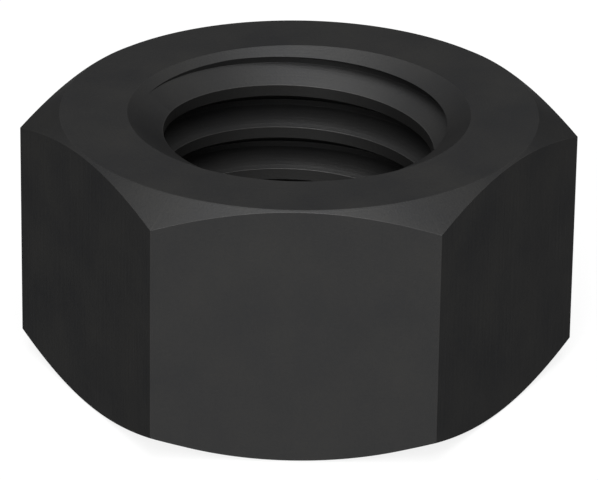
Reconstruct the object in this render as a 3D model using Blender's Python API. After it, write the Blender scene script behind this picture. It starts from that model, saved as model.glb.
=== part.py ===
"""Plow nut: a hexagonal steel nut, chamfered on both faces, countersunk and tapped.

The nut stands on its lower bearing face, whose centre is the origin, with its axis on Z.
Two flats face -Y and +Y, and two corners lie on the X axis. Lengths are in metres and
angles in degrees.
"""

import math

import bmesh
import bpy
from mathutils import Matrix

# The hexagon, for a 15/16 in wrench
ACROSS_FLATS = 0.0238125
THICKNESS = 0.01324

# The chamfers turned on both faces: their slope from the face, and how far inside the
# flats the round bearing face ends
CHAMFER_SLOPE = 30.0
BEARING_INSET = 0.00012

# The coarse right-hand thread, 5/8 in with 11 turns to the inch. Each flank leans by half
# of the thread angle, and the flats at crest and root are shares of the pitch.
THREAD_DIAMETER = 0.015875
PITCH = 0.0254 / 11
FLANK_LEAN = 30.0
CREST_SHARE = 1 / 4
ROOT_SHARE = 1 / 8

# How deep the upper edge of the first full crest lies under the top face, on the +Y side
FIRST_CREST_DEPTH = 0.00148

# The countersinks at both ends of the thread: their slope from the face, and how far
# outside the thread they open
COUNTERSINK_SLOPE = 30.0
COUNTERSINK_MARGIN = 0.00052

# Each full turn has a multiple of twelve segments, so that every corner and the middle of
# every flat has an edge of the round forms
SEGMENTS = 72

# How far a cutter runs past the faces, and how many spare turns the tap has at each end
CUTTER_OVERRUN = 0.001
SPARE_TURNS = 2

# Points closer together than this are one point
MERGE_DISTANCE = 0.000001

# Edges that turn by more than this stay sharp in the smooth shading
SHARP_ANGLE = 20.0

BLACK_FINISH_COLOUR = (0.032, 0.032, 0.033, 1.0)
BLACK_FINISH_METALLIC = 0.3
BLACK_FINISH_ROUGHNESS = 0.45


def slope(degrees):
    return math.tan(math.radians(degrees))


corner_radius = ACROSS_FLATS / 2 / math.cos(math.radians(30))
bearing_radius = ACROSS_FLATS / 2 - BEARING_INSET
crest_flat = PITCH * CREST_SHARE
root_flat = PITCH * ROOT_SHARE
flank_rise = (PITCH - crest_flat - root_flat) / 2
major_radius = THREAD_DIAMETER / 2
minor_radius = major_radius - flank_rise / slope(FLANK_LEAN)
countersink_radius = major_radius + COUNTERSINK_MARGIN


def clear_scene():
    for obj in list(bpy.data.objects):
        bpy.data.objects.remove(obj, do_unlink=True)


def add_object(name, bm):
    bmesh.ops.recalc_face_normals(bm, faces=bm.faces)
    mesh = bpy.data.meshes.new(name)
    bm.to_mesh(mesh)
    bm.free()
    obj = bpy.data.objects.new(name, mesh)
    bpy.context.scene.collection.objects.link(obj)
    return obj


def hexagonal_blank(name):
    """The forged six-sided slug, with its corners on the X axis and 60 degrees apart."""
    bm = bmesh.new()
    bmesh.ops.create_cone(
        bm,
        cap_ends=True,
        segments=6,
        radius1=corner_radius,
        radius2=corner_radius,
        depth=THICKNESS,
        matrix=Matrix.Translation((0, 0, THICKNESS / 2)) @ Matrix.Rotation(math.radians(30), 4, "Z"),
    )
    return add_object(name, bm)


def turned_form(name, profile):
    """A closed round form: radius and height pairs from the axis to the axis, spun about Z."""
    bm = bmesh.new()
    points = [bm.verts.new((radius, 0, height)) for radius, height in profile]
    for start, end in zip(points, points[1:]):
        bm.edges.new((start, end))
    bmesh.ops.spin(
        bm,
        geom=bm.verts[:] + bm.edges[:],
        axis=(0, 0, 1),
        cent=(0, 0, 0),
        angle=math.tau,
        steps=SEGMENTS,
    )
    bmesh.ops.remove_doubles(bm, verts=bm.verts, dist=MERGE_DISTANCE)
    return add_object(name, bm)


def chamfer_form(name):
    """What the lathe leaves: a disc whose two cones pass the bearing circles of both faces."""
    rim_radius = corner_radius + CUTTER_OVERRUN
    rim_height = (rim_radius - bearing_radius) * slope(CHAMFER_SLOPE)
    end_radius = bearing_radius - CUTTER_OVERRUN / slope(CHAMFER_SLOPE)
    bottom = -CUTTER_OVERRUN
    top = THICKNESS + CUTTER_OVERRUN
    return turned_form(name, [
        (0, bottom),
        (end_radius, bottom),
        (rim_radius, rim_height),
        (rim_radius, THICKNESS - rim_height),
        (end_radius, top),
        (0, top),
    ])


def countersink_cutter(name, face, outward):
    """A cone that opens the bore at one face and has its point on the nut's axis."""
    wide_radius = countersink_radius + CUTTER_OVERRUN / slope(COUNTERSINK_SLOPE)
    wide_height = face + outward * CUTTER_OVERRUN
    point_height = face - outward * countersink_radius * slope(COUNTERSINK_SLOPE)
    return turned_form(name, [
        (0, point_height),
        (wide_radius, wide_height),
        (0, wide_height),
    ])


def tap(name):
    """A full-form tap: one pitch of the thread's profile, carried up a right-hand helix.

    The profile starts on the +Y side with the crest's flat and goes up past the root. Its
    last point meets the first one a turn later. Each open end is drawn in to the axis.
    """
    profile = [
        (minor_radius, 0),
        (minor_radius, crest_flat),
        (major_radius, crest_flat + flank_rise),
        (major_radius, crest_flat + flank_rise + root_flat),
        (minor_radius, PITCH),
    ]
    first_crest = THICKNESS - FIRST_CREST_DEPTH - crest_flat
    turns_below = math.ceil(first_crest / PITCH) + SPARE_TURNS
    start = first_crest - turns_below * PITCH
    turns = math.ceil((THICKNESS - start) / PITCH) + SPARE_TURNS

    bm = bmesh.new()
    points = [bm.verts.new((0, radius, start + height)) for radius, height in profile]
    for lower, upper in zip(points, points[1:]):
        bm.edges.new((lower, upper))
    bmesh.ops.spin(
        bm,
        geom=bm.verts[:] + bm.edges[:],
        axis=(0, 0, 1),
        cent=(0, 0, 0),
        dvec=(0, 0, PITCH / SEGMENTS),
        angle=math.tau * turns,
        steps=SEGMENTS * turns,
    )
    bmesh.ops.remove_doubles(bm, verts=bm.verts, dist=MERGE_DISTANCE)

    middle = THICKNESS / 2
    open_edges = [edge for edge in bm.edges if edge.is_boundary]
    lower_end = [edge for edge in open_edges if edge.verts[0].co.z < middle]
    upper_end = [edge for edge in open_edges if edge.verts[0].co.z > middle]
    for end, height in ((lower_end, start), (upper_end, start + turns * PITCH)):
        drawn = bmesh.ops.extrude_edge_only(bm, edges=end)
        tip = [item for item in drawn["geom"] if isinstance(item, bmesh.types.BMVert)]
        bmesh.ops.pointmerge(bm, verts=tip, merge_co=(0, 0, height + PITCH / 2))
    return add_object(name, bm)


def cut(obj, tool, operation):
    """Adds one exact cut, and keeps the tool out of renders."""
    tool.hide_render = True
    tool.display_type = "WIRE"
    step = obj.modifiers.new(tool.name, "BOOLEAN")
    step.operation = operation
    step.solver = "EXACT"
    step.object = tool


def finish_cuts(obj, tools):
    """Turns the cuts into the object's own mesh, so that its new edges can be shaded."""
    evaluated = obj.evaluated_get(bpy.context.evaluated_depsgraph_get())
    bm = bmesh.new()
    bm.from_mesh(evaluated.to_mesh())
    bmesh.ops.remove_doubles(bm, verts=bm.verts, dist=MERGE_DISTANCE)
    bmesh.ops.dissolve_degenerate(bm, edges=bm.edges, dist=MERGE_DISTANCE)
    evaluated.to_mesh_clear()
    obj.modifiers.clear()
    mesh = obj.data
    bm.to_mesh(mesh)
    bm.free()
    for tool in tools:
        bpy.data.objects.remove(tool, do_unlink=True)
    mesh.shade_smooth()
    mesh.set_sharp_from_angle(angle=math.radians(SHARP_ANGLE))


def black_finish():
    """The dark, even oxide finish of the whole nut."""
    material = bpy.data.materials.new("black_finish")
    material.use_nodes = True
    shader = material.node_tree.nodes["Principled BSDF"]
    shader.inputs["Base Color"].default_value = BLACK_FINISH_COLOUR
    shader.inputs["Metallic"].default_value = BLACK_FINISH_METALLIC
    shader.inputs["Roughness"].default_value = BLACK_FINISH_ROUGHNESS
    material.diffuse_color = BLACK_FINISH_COLOUR
    return material


def plow_nut():
    """The whole nut, made in the order of the shop: forge, turn, countersink and tap."""
    nut = hexagonal_blank("plow_nut")
    chamfers = chamfer_form("chamfers")
    lower_countersink = countersink_cutter("lower_countersink", 0, -1)
    upper_countersink = countersink_cutter("upper_countersink", THICKNESS, 1)
    thread = tap("thread")
    cut(nut, chamfers, "INTERSECT")
    cut(nut, lower_countersink, "DIFFERENCE")
    cut(nut, upper_countersink, "DIFFERENCE")
    cut(nut, thread, "DIFFERENCE")
    finish_cuts(nut, [chamfers, lower_countersink, upper_countersink, thread])
    nut.data.materials.append(black_finish())


clear_scene()
plow_nut()
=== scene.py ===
import math

import bmesh
import bpy
import numpy as np
from mathutils import Matrix, Vector


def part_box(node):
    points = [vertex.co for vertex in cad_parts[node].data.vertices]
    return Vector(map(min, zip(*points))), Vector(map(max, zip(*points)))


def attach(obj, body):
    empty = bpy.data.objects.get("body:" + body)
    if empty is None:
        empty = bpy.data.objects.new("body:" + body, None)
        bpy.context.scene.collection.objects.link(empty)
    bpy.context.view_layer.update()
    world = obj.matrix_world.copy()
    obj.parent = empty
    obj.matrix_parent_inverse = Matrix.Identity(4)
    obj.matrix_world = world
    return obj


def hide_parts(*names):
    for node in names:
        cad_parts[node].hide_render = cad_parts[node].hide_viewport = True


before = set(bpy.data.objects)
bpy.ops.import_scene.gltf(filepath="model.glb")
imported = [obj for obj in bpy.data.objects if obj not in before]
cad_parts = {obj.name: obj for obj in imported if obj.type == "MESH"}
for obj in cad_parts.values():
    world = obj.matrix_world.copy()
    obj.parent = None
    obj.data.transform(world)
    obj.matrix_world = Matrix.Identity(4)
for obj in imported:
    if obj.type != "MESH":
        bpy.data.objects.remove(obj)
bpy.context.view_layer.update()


# The nut. A six-sided slug of steel, forged and punched, then turned with a chamfer and a
# countersink on both faces, tapped with a coarse right-hand thread and blackened. Here it is
# laid round its axis as one half section after another, so every edge has its small true radius.

node_low, node_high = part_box("plow_nut")
THICKNESS = node_high.z - node_low.z
FLAT_DISTANCE = (node_high.y - node_low.y) / 2

BEARING_INSET = 0.00012
CHAMFER_SLOPE = math.tan(math.radians(30))
bearing_radius = FLAT_DISTANCE - BEARING_INSET

THREAD_DIAMETER = 0.015875
PITCH = 0.0254 / 11
FLANK_SLOPE = math.tan(math.radians(30))
CREST_FLAT = PITCH / 4
ROOT_FLAT = PITCH / 8
FIRST_CREST_DEPTH = 0.00148
flank_rise = (PITCH - CREST_FLAT - ROOT_FLAT) / 2
major_radius = THREAD_DIAMETER / 2
minor_radius = major_radius - flank_rise / FLANK_SLOPE

COUNTERSINK_SLOPE = math.tan(math.radians(30))
COUNTERSINK_MARGIN = 0.00052
countersink_radius = major_radius + COUNTERSINK_MARGIN

# The radii that tumbling and tapping leave on the edges. Each rounded corner of a section
# has the points of its arc and one point off each end of it, which holds the faces flat.
FACE_EDGE_RADIUS = 0.00002
CORNER_EDGE_RADIUS = 0.00005
CREST_EDGE_RADIUS = 0.00002
ROOT_EDGE_RADIUS = 0.00001
HOLDING_GAP = 0.00001
ARC_STEPS = 3
POINTS_A_CORNER = ARC_STEPS + 3
OUTSIDE_CORNERS = 6

# Sections stand one degree apart, starting on the +Y side where the thread's place is known
START_ANGLE = 90
END_ANGLE = START_ANGLE + 360
CORNER_SPACING = 60
HALF_SIDE = CORNER_SPACING / 2
HOLDING_ANGLE = 0.05
SPARE_TURNS = 2

MERGE_DISTANCE = 1e-7
SHARP_ANGLE = math.radians(30)


def round_corners(line, radii):
    """Rounds the inner corners of an open line of (radius, height) points. Each corner gives
    the same number of points: an arc, and one holding point off each end of it."""
    line = [np.array(point, float) for point in line]
    result = [line[0]]
    for before, corner, after, radius in zip(line, line[1:], line[2:], radii):
        back = (before - corner) / np.linalg.norm(before - corner)
        ahead = (after - corner) / np.linalg.norm(after - corner)
        turn = math.pi - math.acos(np.clip(back @ ahead, -1, 1))
        reach = radius * math.tan(turn / 2)
        middle = back + ahead
        centre = corner + middle / np.linalg.norm(middle) * radius / math.cos(turn / 2)
        start = (corner + back * reach - centre) / radius
        end = (corner + ahead * reach - centre) / radius
        result.append(corner + back * (reach + HOLDING_GAP))
        for step in range(ARC_STEPS + 1):
            share = step / ARC_STEPS
            spoke = math.sin((1 - share) * turn) * start + math.sin(share * turn) * end
            result.append(centre + spoke / math.sin(turn) * radius)
        result.append(corner + ahead * (reach + HOLDING_GAP))
    result.append(line[-1])
    return np.array(result)


def angle_from_corner(degrees):
    """How far this angle round the axis is from the nearest corner of the hexagon."""
    return abs((degrees + HALF_SIDE) % CORNER_SPACING - HALF_SIDE)


def rounding_centre():
    """Distance from the axis to the centre of each upright edge's rounding."""
    return (FLAT_DISTANCE - CORNER_EDGE_RADIUS) / math.cos(math.radians(HALF_SIDE))


def rounding_angle():
    """How far from a corner, in degrees round the axis, its rounding ends."""
    tangent_along = rounding_centre() + CORNER_EDGE_RADIUS * math.cos(math.radians(HALF_SIDE))
    tangent_aside = CORNER_EDGE_RADIUS * math.sin(math.radians(HALF_SIDE))
    return math.degrees(math.atan2(tangent_aside, tangent_along))


def hexagon_radius(degrees):
    """Distance from the axis to the hexagon's side, with its six upright edges rounded."""
    from_corner = math.radians(angle_from_corner(degrees))
    if from_corner < math.radians(rounding_angle()):
        along = rounding_centre() * math.cos(from_corner)
        aside = rounding_centre() * math.sin(from_corner)
        return along + math.sqrt(CORNER_EDGE_RADIUS**2 - aside**2)
    return FLAT_DISTANCE / math.cos(math.radians(HALF_SIDE) - from_corner)


def section_angles():
    """Every whole degree, and closer angles over the rounding of each upright edge."""
    angles = set(float(angle) for angle in range(START_ANGLE, END_ANGLE + 1))
    first_corner = math.ceil(START_ANGLE / CORNER_SPACING) * CORNER_SPACING
    for corner in range(first_corner, END_ANGLE, CORNER_SPACING):
        for share in (0.5, 1):
            angles.update((corner - share * rounding_angle(), corner + share * rounding_angle()))
        holding = rounding_angle() + HOLDING_ANGLE
        angles.update((corner - holding, corner + holding))
    return sorted(angles)


def thread_line():
    """The thread's profile at the start angle, upwards from well below the nut to above it."""
    first_crest = THICKNESS - FIRST_CREST_DEPTH - CREST_FLAT
    turns_below = math.ceil(first_crest / PITCH) + SPARE_TURNS
    line = []
    radii = []
    for turn in range(-turns_below, SPARE_TURNS + 1):
        foot = first_crest + turn * PITCH
        line.append((minor_radius, foot))
        line.append((minor_radius, foot + CREST_FLAT))
        line.append((major_radius, foot + CREST_FLAT + flank_rise))
        line.append((major_radius, foot + CREST_FLAT + flank_rise + ROOT_FLAT))
        radii += [CREST_EDGE_RADIUS, CREST_EDGE_RADIUS, ROOT_EDGE_RADIUS, ROOT_EDGE_RADIUS]
    return round_corners(line, radii[1:-1])


def clip_to_cone(line, overlap):
    """Cuts a line where the countersink takes over: overlap is the cone's radius less the
    line's, and grows past nought along it. The points beyond all lie on the lip."""
    first_out = int(np.argmax(overlap > 0))
    inside, outside = first_out - 1, first_out
    share = -overlap[inside] / (overlap[outside] - overlap[inside])
    lip = line[inside] + share * (line[outside] - line[inside])
    clipped = line.copy()
    clipped[first_out:] = lip
    return clipped, lip


def half_section(degrees, thread):
    """The closed outline of the nut in the half plane at this angle round the axis."""
    line = thread + (0, PITCH * (degrees - START_ANGLE) / 360)
    upper_cone = countersink_radius - (THICKNESS - line[:, 1]) / COUNTERSINK_SLOPE
    lower_cone = countersink_radius - line[:, 1] / COUNTERSINK_SLOPE
    line, upper_lip = clip_to_cone(line, upper_cone - line[:, 0])
    line, lower_lip = clip_to_cone(line[::-1], (lower_cone - thread[:, 0])[::-1])

    side = hexagon_radius(degrees)
    chamfer_height = (side - bearing_radius) * CHAMFER_SLOPE
    outside = round_corners(
        [
            lower_lip,
            (countersink_radius, 0),
            (bearing_radius, 0),
            (side, chamfer_height),
            (side, THICKNESS - chamfer_height),
            (bearing_radius, THICKNESS),
            (countersink_radius, THICKNESS),
            upper_lip,
        ],
        [FACE_EDGE_RADIUS] * OUTSIDE_CORNERS,
    )
    return np.concatenate([outside, line])


def edge_wear(angles, columns):
    """How worn each point is: one over the rounded outer edges, and nought elsewhere."""
    on_arc = np.zeros(POINTS_A_CORNER)
    on_arc[1:-1] = 1
    outer_arcs = np.tile(on_arc, OUTSIDE_CORNERS)
    wear = np.zeros((len(angles), columns))
    wear[:, 1 : 1 + len(outer_arcs)] = outer_arcs

    # The six upright edges run between the arcs of the lower and the upper chamfer, which are
    # the third and the fourth corner of the outside
    off_corner = np.array([angle_from_corner(degrees) for degrees in angles])
    lower_arc = 1 + 2 * POINTS_A_CORNER
    upper_arc = 1 + 4 * POINTS_A_CORNER
    wear[off_corner <= rounding_angle(), lower_arc:upper_arc] = 1
    return wear


def build_nut(name):
    thread = thread_line()
    angles = section_angles()
    sections = np.array([half_section(degrees, thread) for degrees in angles])
    radii = sections[:, :, 0]
    heights = sections[:, :, 1]
    turn = np.radians(angles)[:, None]
    points = np.stack([radii * np.cos(turn), radii * np.sin(turn), heights], axis=2)
    rows, columns = radii.shape
    index = np.arange(rows * columns).reshape(rows, columns)
    near = index[:-1]
    far = index[1:]
    faces = np.stack([near, far, np.roll(far, -1, axis=1), np.roll(near, -1, axis=1)], axis=2)

    mesh = bpy.data.meshes.new(name)
    mesh.from_pydata(points.reshape(-1, 3).tolist(), [], faces.reshape(-1, 4).tolist())
    wear = mesh.attributes.new("edge_wear", "FLOAT", "POINT")
    wear.data.foreach_set("value", edge_wear(angles, columns).ravel())
    bm = bmesh.new()
    bm.from_mesh(mesh)
    bmesh.ops.remove_doubles(bm, verts=bm.verts, dist=MERGE_DISTANCE)
    bmesh.ops.dissolve_degenerate(bm, edges=bm.edges, dist=MERGE_DISTANCE)
    bmesh.ops.recalc_face_normals(bm, faces=bm.faces)
    bm.to_mesh(mesh)
    bm.free()
    mesh.shade_smooth()
    mesh.set_sharp_from_angle(angle=SHARP_ANGLE)
    nut = bpy.data.objects.new(name, mesh)
    bpy.context.scene.collection.objects.link(nut)
    return nut


# Black oxide is a thin satin skin on the steel, slightly cloudy and thinner over the edges.
# The forging's grain shows through it, rings where the lathe and the tap have cut, and upright
# lines where die and punch have dragged along the six sides and the wall of the hole.
BLUE_BLACK = (0.0314, 0.0317, 0.0325, 1)
BROWN_BLACK = (0.0367, 0.0364, 0.0356, 1)
WORN_BLACK = (0.042, 0.0415, 0.041, 1)
METAL_SHARE = 0.88
GRAZING_TINT = (0.355, 0.355, 0.355, 1)
SMOOTHER = 0.43
ROUGHER = 0.47
WORN_SMOOTHER_BY = 0.04
# Painted highlight: a lighter colour for the thread crests, in place of light reaching into the bore
CREST_PAINTED_HIGHLIGHT = (0.0440, 0.0437, 0.0430, 1)
CREST_HIGHLIGHT_SHARE = 0.8
CREST_REACH = 0.00003
CLOUD_SIZE = 0.003
CLOUD_SHARE = 0.6
SPECK_SIZE = 0.00016
SPECK_SHARE = 0.4
LEAST_WORN = 0.3
MOST_WORN = 0.9
GRAIN_SIZE = 0.00011
GRAIN_HEIGHT = 0.000008
RING_WIDTH = 0.00013
RING_HEIGHT = 0.000006
DRAG_LINE_WIDTH = 0.0002
DRAG_LINE_LENGTH = 0.004
DRAG_LINE_HEIGHT = 0.000012
UPRIGHT_BELOW = 0.4
CLOUD_DETAIL = 3
FINE_DETAIL = 2

# Nearly all of a noise lies between these two
NOISE_LOW = 0.3
NOISE_HIGH = 0.7

# Where the mix node keeps its share, its two colours and its result
MIX_SHARE = 0
MIX_FIRST = 6
MIX_SECOND = 7
MIX_RESULT = 2


def add_node(tree, kind, inputs, **settings):
    """Adds a node. Each input takes a number, a colour or the output of another node."""
    node = tree.nodes.new(kind)
    for name, value in settings.items():
        setattr(node, name, value)
    for socket, value in inputs.items():
        if isinstance(value, bpy.types.NodeSocket):
            tree.links.new(value, node.inputs[socket])
        else:
            node.inputs[socket].default_value = value
    return node


def noise(tree, vector, size, detail):
    inputs = {"Vector": vector, "Scale": 1 / size, "Detail": detail}
    return add_node(tree, "ShaderNodeTexNoise", inputs).outputs["Fac"]


def reckon(tree, operation, *numbers):
    return add_node(tree, "ShaderNodeMath", dict(enumerate(numbers)), operation=operation).outputs[0]


def spread(tree, share, low, high):
    """Stretches a noise so that it runs from low to high."""
    inputs = {"Value": share, "From Min": NOISE_LOW, "From Max": NOISE_HIGH}
    inputs.update({"To Min": low, "To Max": high})
    return add_node(tree, "ShaderNodeMapRange", inputs).outputs["Result"]


def blend_colours(tree, share, first, second):
    inputs = {MIX_SHARE: share, MIX_FIRST: first, MIX_SECOND: second}
    mix = add_node(tree, "ShaderNodeMix", inputs, data_type="RGBA")
    return mix.outputs[MIX_RESULT]


def black_oxide(name):
    material = bpy.data.materials.new(name)
    material.use_nodes = True
    tree = material.node_tree
    texture_place = add_node(tree, "ShaderNodeTexCoord", {})
    place = texture_place.outputs["Object"]

    across = {0: place, 1: (1, 1, 0)}
    spoke = add_node(tree, "ShaderNodeVectorMath", across, operation="MULTIPLY").outputs[0]
    length = add_node(tree, "ShaderNodeVectorMath", {0: spoke}, operation="LENGTH")
    radius = length.outputs["Value"]

    clouds = noise(tree, place, CLOUD_SIZE, CLOUD_DETAIL)
    specks = noise(tree, place, SPECK_SIZE, FINE_DETAIL)
    cloud_tone = spread(tree, clouds, 0, CLOUD_SHARE)
    speck_tone = spread(tree, specks, 0, SPECK_SHARE)
    tone = reckon(tree, "ADD", cloud_tone, speck_tone)
    edge = add_node(tree, "ShaderNodeAttribute", {}, attribute_name="edge_wear").outputs["Fac"]
    worn = reckon(tree, "MULTIPLY", edge, spread(tree, clouds, LEAST_WORN, MOST_WORN))
    skin = blend_colours(tree, tone, BLUE_BLACK, BROWN_BLACK)
    skin = blend_colours(tree, worn, skin, WORN_BLACK)

    # The crests are the wall of the punched hole. Their lighter colour is a painted highlight,
    # standing in for the light that reaches them deep in the bore.
    crest = reckon(tree, "LESS_THAN", radius, minor_radius + CREST_REACH)
    painted_crest_highlight = reckon(tree, "MULTIPLY", crest, CREST_HIGHLIGHT_SHARE)
    colour = blend_colours(tree, painted_crest_highlight, skin, CREST_PAINTED_HIGHLIGHT)
    smoothing = reckon(tree, "MULTIPLY", worn, WORN_SMOOTHER_BY)
    roughness = reckon(tree, "SUBTRACT", spread(tree, clouds, SMOOTHER, ROUGHER), smoothing)

    # Rings follow the distance from the axis, on all that doesn't stand upright
    ring_inputs = {"W": radius, "Scale": 1 / RING_WIDTH, "Detail": FINE_DETAIL}
    rings = add_node(tree, "ShaderNodeTexNoise", ring_inputs, noise_dimensions="1D").outputs["Fac"]
    facing = add_node(tree, "ShaderNodeSeparateXYZ", {0: texture_place.outputs["Normal"]})
    levelness = reckon(tree, "ABSOLUTE", facing.outputs["Z"])
    turned = reckon(tree, "GREATER_THAN", levelness, UPRIGHT_BELOW)
    ring_relief = reckon(tree, "MULTIPLY", turned, reckon(tree, "MULTIPLY", rings, RING_HEIGHT))

    # Drag lines are a noise drawn out along the axis, on all that does
    drawn_out = {0: place, 1: (1 / DRAG_LINE_WIDTH, 1 / DRAG_LINE_WIDTH, 1 / DRAG_LINE_LENGTH)}
    drag_place = add_node(tree, "ShaderNodeVectorMath", drawn_out, operation="MULTIPLY").outputs[0]
    drag_lines = noise(tree, drag_place, 1, FINE_DETAIL)
    upright = reckon(tree, "SUBTRACT", 1, turned)
    drag_height = reckon(tree, "MULTIPLY", drag_lines, DRAG_LINE_HEIGHT)
    drag_relief = reckon(tree, "MULTIPLY", upright, drag_height)

    grain = noise(tree, place, GRAIN_SIZE, FINE_DETAIL)
    grain_relief = reckon(tree, "MULTIPLY", grain, GRAIN_HEIGHT)
    relief = reckon(tree, "ADD", grain_relief, reckon(tree, "ADD", ring_relief, drag_relief))
    bump = add_node(tree, "ShaderNodeBump", {"Strength": 1, "Distance": 1, "Height": relief})

    shader = tree.nodes["Principled BSDF"]
    tree.links.new(colour, shader.inputs["Base Color"])
    tree.links.new(roughness, shader.inputs["Roughness"])
    tree.links.new(bump.outputs["Normal"], shader.inputs["Normal"])
    shader.inputs["Metallic"].default_value = METAL_SHARE
    shader.inputs["Specular IOR Level"].default_value = 0
    shader.inputs["Specular Tint"].default_value = GRAZING_TINT
    return material


nut = build_nut("blackened_nut")
nut.data.materials.append(black_oxide("black_oxide"))
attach(nut, "root")
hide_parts("plow_nut")


# The floor. A plain pale surface that the nut stands on, white to the camera and in
# reflections, with the nut's own soft shadow on it. It can't be seen from below.

FLOOR_SIZE = 3.0
FLOOR_DROP = 0.00002
FLOOR_LAMP_LIT = (0.15, 0.15, 0.15, 1)
FLOOR_GLOW = 0.85


def seen_directly(tree):
    """One for what the camera, a reflection or clear glass shows, and nought for other light."""
    path = add_node(tree, "ShaderNodeLightPath", {})
    shown = reckon(tree, "ADD", path.outputs["Is Camera Ray"], path.outputs["Is Glossy Ray"])
    return reckon(tree, "ADD", shown, path.outputs["Is Transmission Ray"])


def pale_floor(name):
    material = bpy.data.materials.new(name)
    material.use_nodes = True
    tree = material.node_tree
    tree.nodes.clear()
    lamp_lit = add_node(tree, "ShaderNodeBsdfDiffuse", {"Color": FLOOR_LAMP_LIT})
    glow_strength = reckon(tree, "MULTIPLY", seen_directly(tree), FLOOR_GLOW)
    glow = add_node(tree, "ShaderNodeEmission", {"Strength": glow_strength})
    upper_side = add_node(tree, "ShaderNodeAddShader", {0: lamp_lit.outputs[0], 1: glow.outputs[0]})
    clear = add_node(tree, "ShaderNodeBsdfTransparent", {})
    back = add_node(tree, "ShaderNodeNewGeometry", {}).outputs["Backfacing"]
    sides = {0: back, 1: upper_side.outputs[0], 2: clear.outputs[0]}
    one_sided = add_node(tree, "ShaderNodeMixShader", sides)
    add_node(tree, "ShaderNodeOutputMaterial", {"Surface": one_sided.outputs[0]})
    return material


bm = bmesh.new()
bmesh.ops.create_grid(bm, x_segments=1, y_segments=1, size=FLOOR_SIZE / 2)
floor_mesh = bpy.data.meshes.new("floor")
bm.to_mesh(floor_mesh)
bm.free()
floor_mesh.materials.append(pale_floor("pale_floor"))
floor = bpy.data.objects.new("floor", floor_mesh)
floor.location.z = -FLOOR_DROP
bpy.context.scene.collection.objects.link(floor)


# The studio lamps. Broad, soft and plain: one low in front for the flats, a large one high in
# front and a smaller one overhead for the faces, and a weak one behind for the far side.
# At strength 1 a lamp makes a white surface that faces it just white. Angles are in degrees.

LAMPS = {
    "low_front_lamp": {"azimuth": -8, "elevation": 4, "spread": 24, "strength": 0.15},
    "front_lamp": {"azimuth": -8, "elevation": 35, "spread": 34, "strength": 0.78},
    "high_front_lamp": {"azimuth": 4, "elevation": 60, "spread": 40, "strength": 0.52},
    "overhead_lamp": {"azimuth": -90, "elevation": 86, "spread": 50, "strength": 0.32},
    "back_lamp": {"azimuth": 180, "elevation": 30, "spread": 30, "strength": 0.07},
}


def add_lamp(name, azimuth, elevation, spread, strength):
    """A lamp far off at this azimuth, from the front towards +X, and elevation, in degrees."""
    data = bpy.data.lights.new(name, "SUN")
    data.energy = math.pi * strength
    data.angle = math.radians(spread)
    lamp = bpy.data.objects.new(name, data)
    round_axis = Matrix.Rotation(math.radians(azimuth), 4, "Z")
    lean = Matrix.Rotation(math.radians(90 - elevation), 4, "X")
    lamp.matrix_world = round_axis @ lean
    bpy.context.scene.collection.objects.link(lamp)


for lamp_name, lamp in LAMPS.items():
    add_lamp(lamp_name, **lamp)

world = bpy.data.worlds.new("white_room")
world.use_nodes = True
bpy.context.scene.world = world
room = world.node_tree.nodes["Background"]
room.inputs["Color"].default_value = (1, 1, 1, 1)
world.node_tree.links.new(seen_directly(world.node_tree), room.inputs["Strength"])


# The camera. It looks down on the nut from the front at the photograph's angle, with a long
# lens, turned and rolled by the fraction of a degree that the photograph has.

CAMERA_ELEVATION = 24.77
CAMERA_AZIMUTH = 0.292
CAMERA_ROLL = 0.815
CAMERA_DISTANCE = 0.24766
AIM_RIGHT = 0.000083
AIM_UP = -0.000324
LENS = 299.74
SENSOR_WIDTH = 36.0
NEAREST_SEEN = 0.01
FARTHEST_SEEN = 10.0

camera_data = bpy.data.cameras.new("camera")
camera_data.lens = LENS
camera_data.sensor_width = SENSOR_WIDTH
camera_data.clip_start = NEAREST_SEEN
camera_data.clip_end = FARTHEST_SEEN
camera = bpy.data.objects.new("camera", camera_data)
bpy.context.scene.collection.objects.link(camera)
bpy.context.scene.camera = camera
swing = Matrix.Rotation(math.radians(CAMERA_AZIMUTH), 4, "Z")
tilt = Matrix.Rotation(math.radians(90 - CAMERA_ELEVATION), 4, "X")
roll = Matrix.Rotation(math.radians(CAMERA_ROLL), 4, "Z")
nut_centre = Vector((0, 0, THICKNESS / 2))
stand_off = Matrix.Translation((AIM_RIGHT, AIM_UP, CAMERA_DISTANCE))
camera.matrix_world = Matrix.Translation(nut_centre) @ swing @ tilt @ stand_off @ roll

bpy.context.scene.view_settings.view_transform = "Standard"
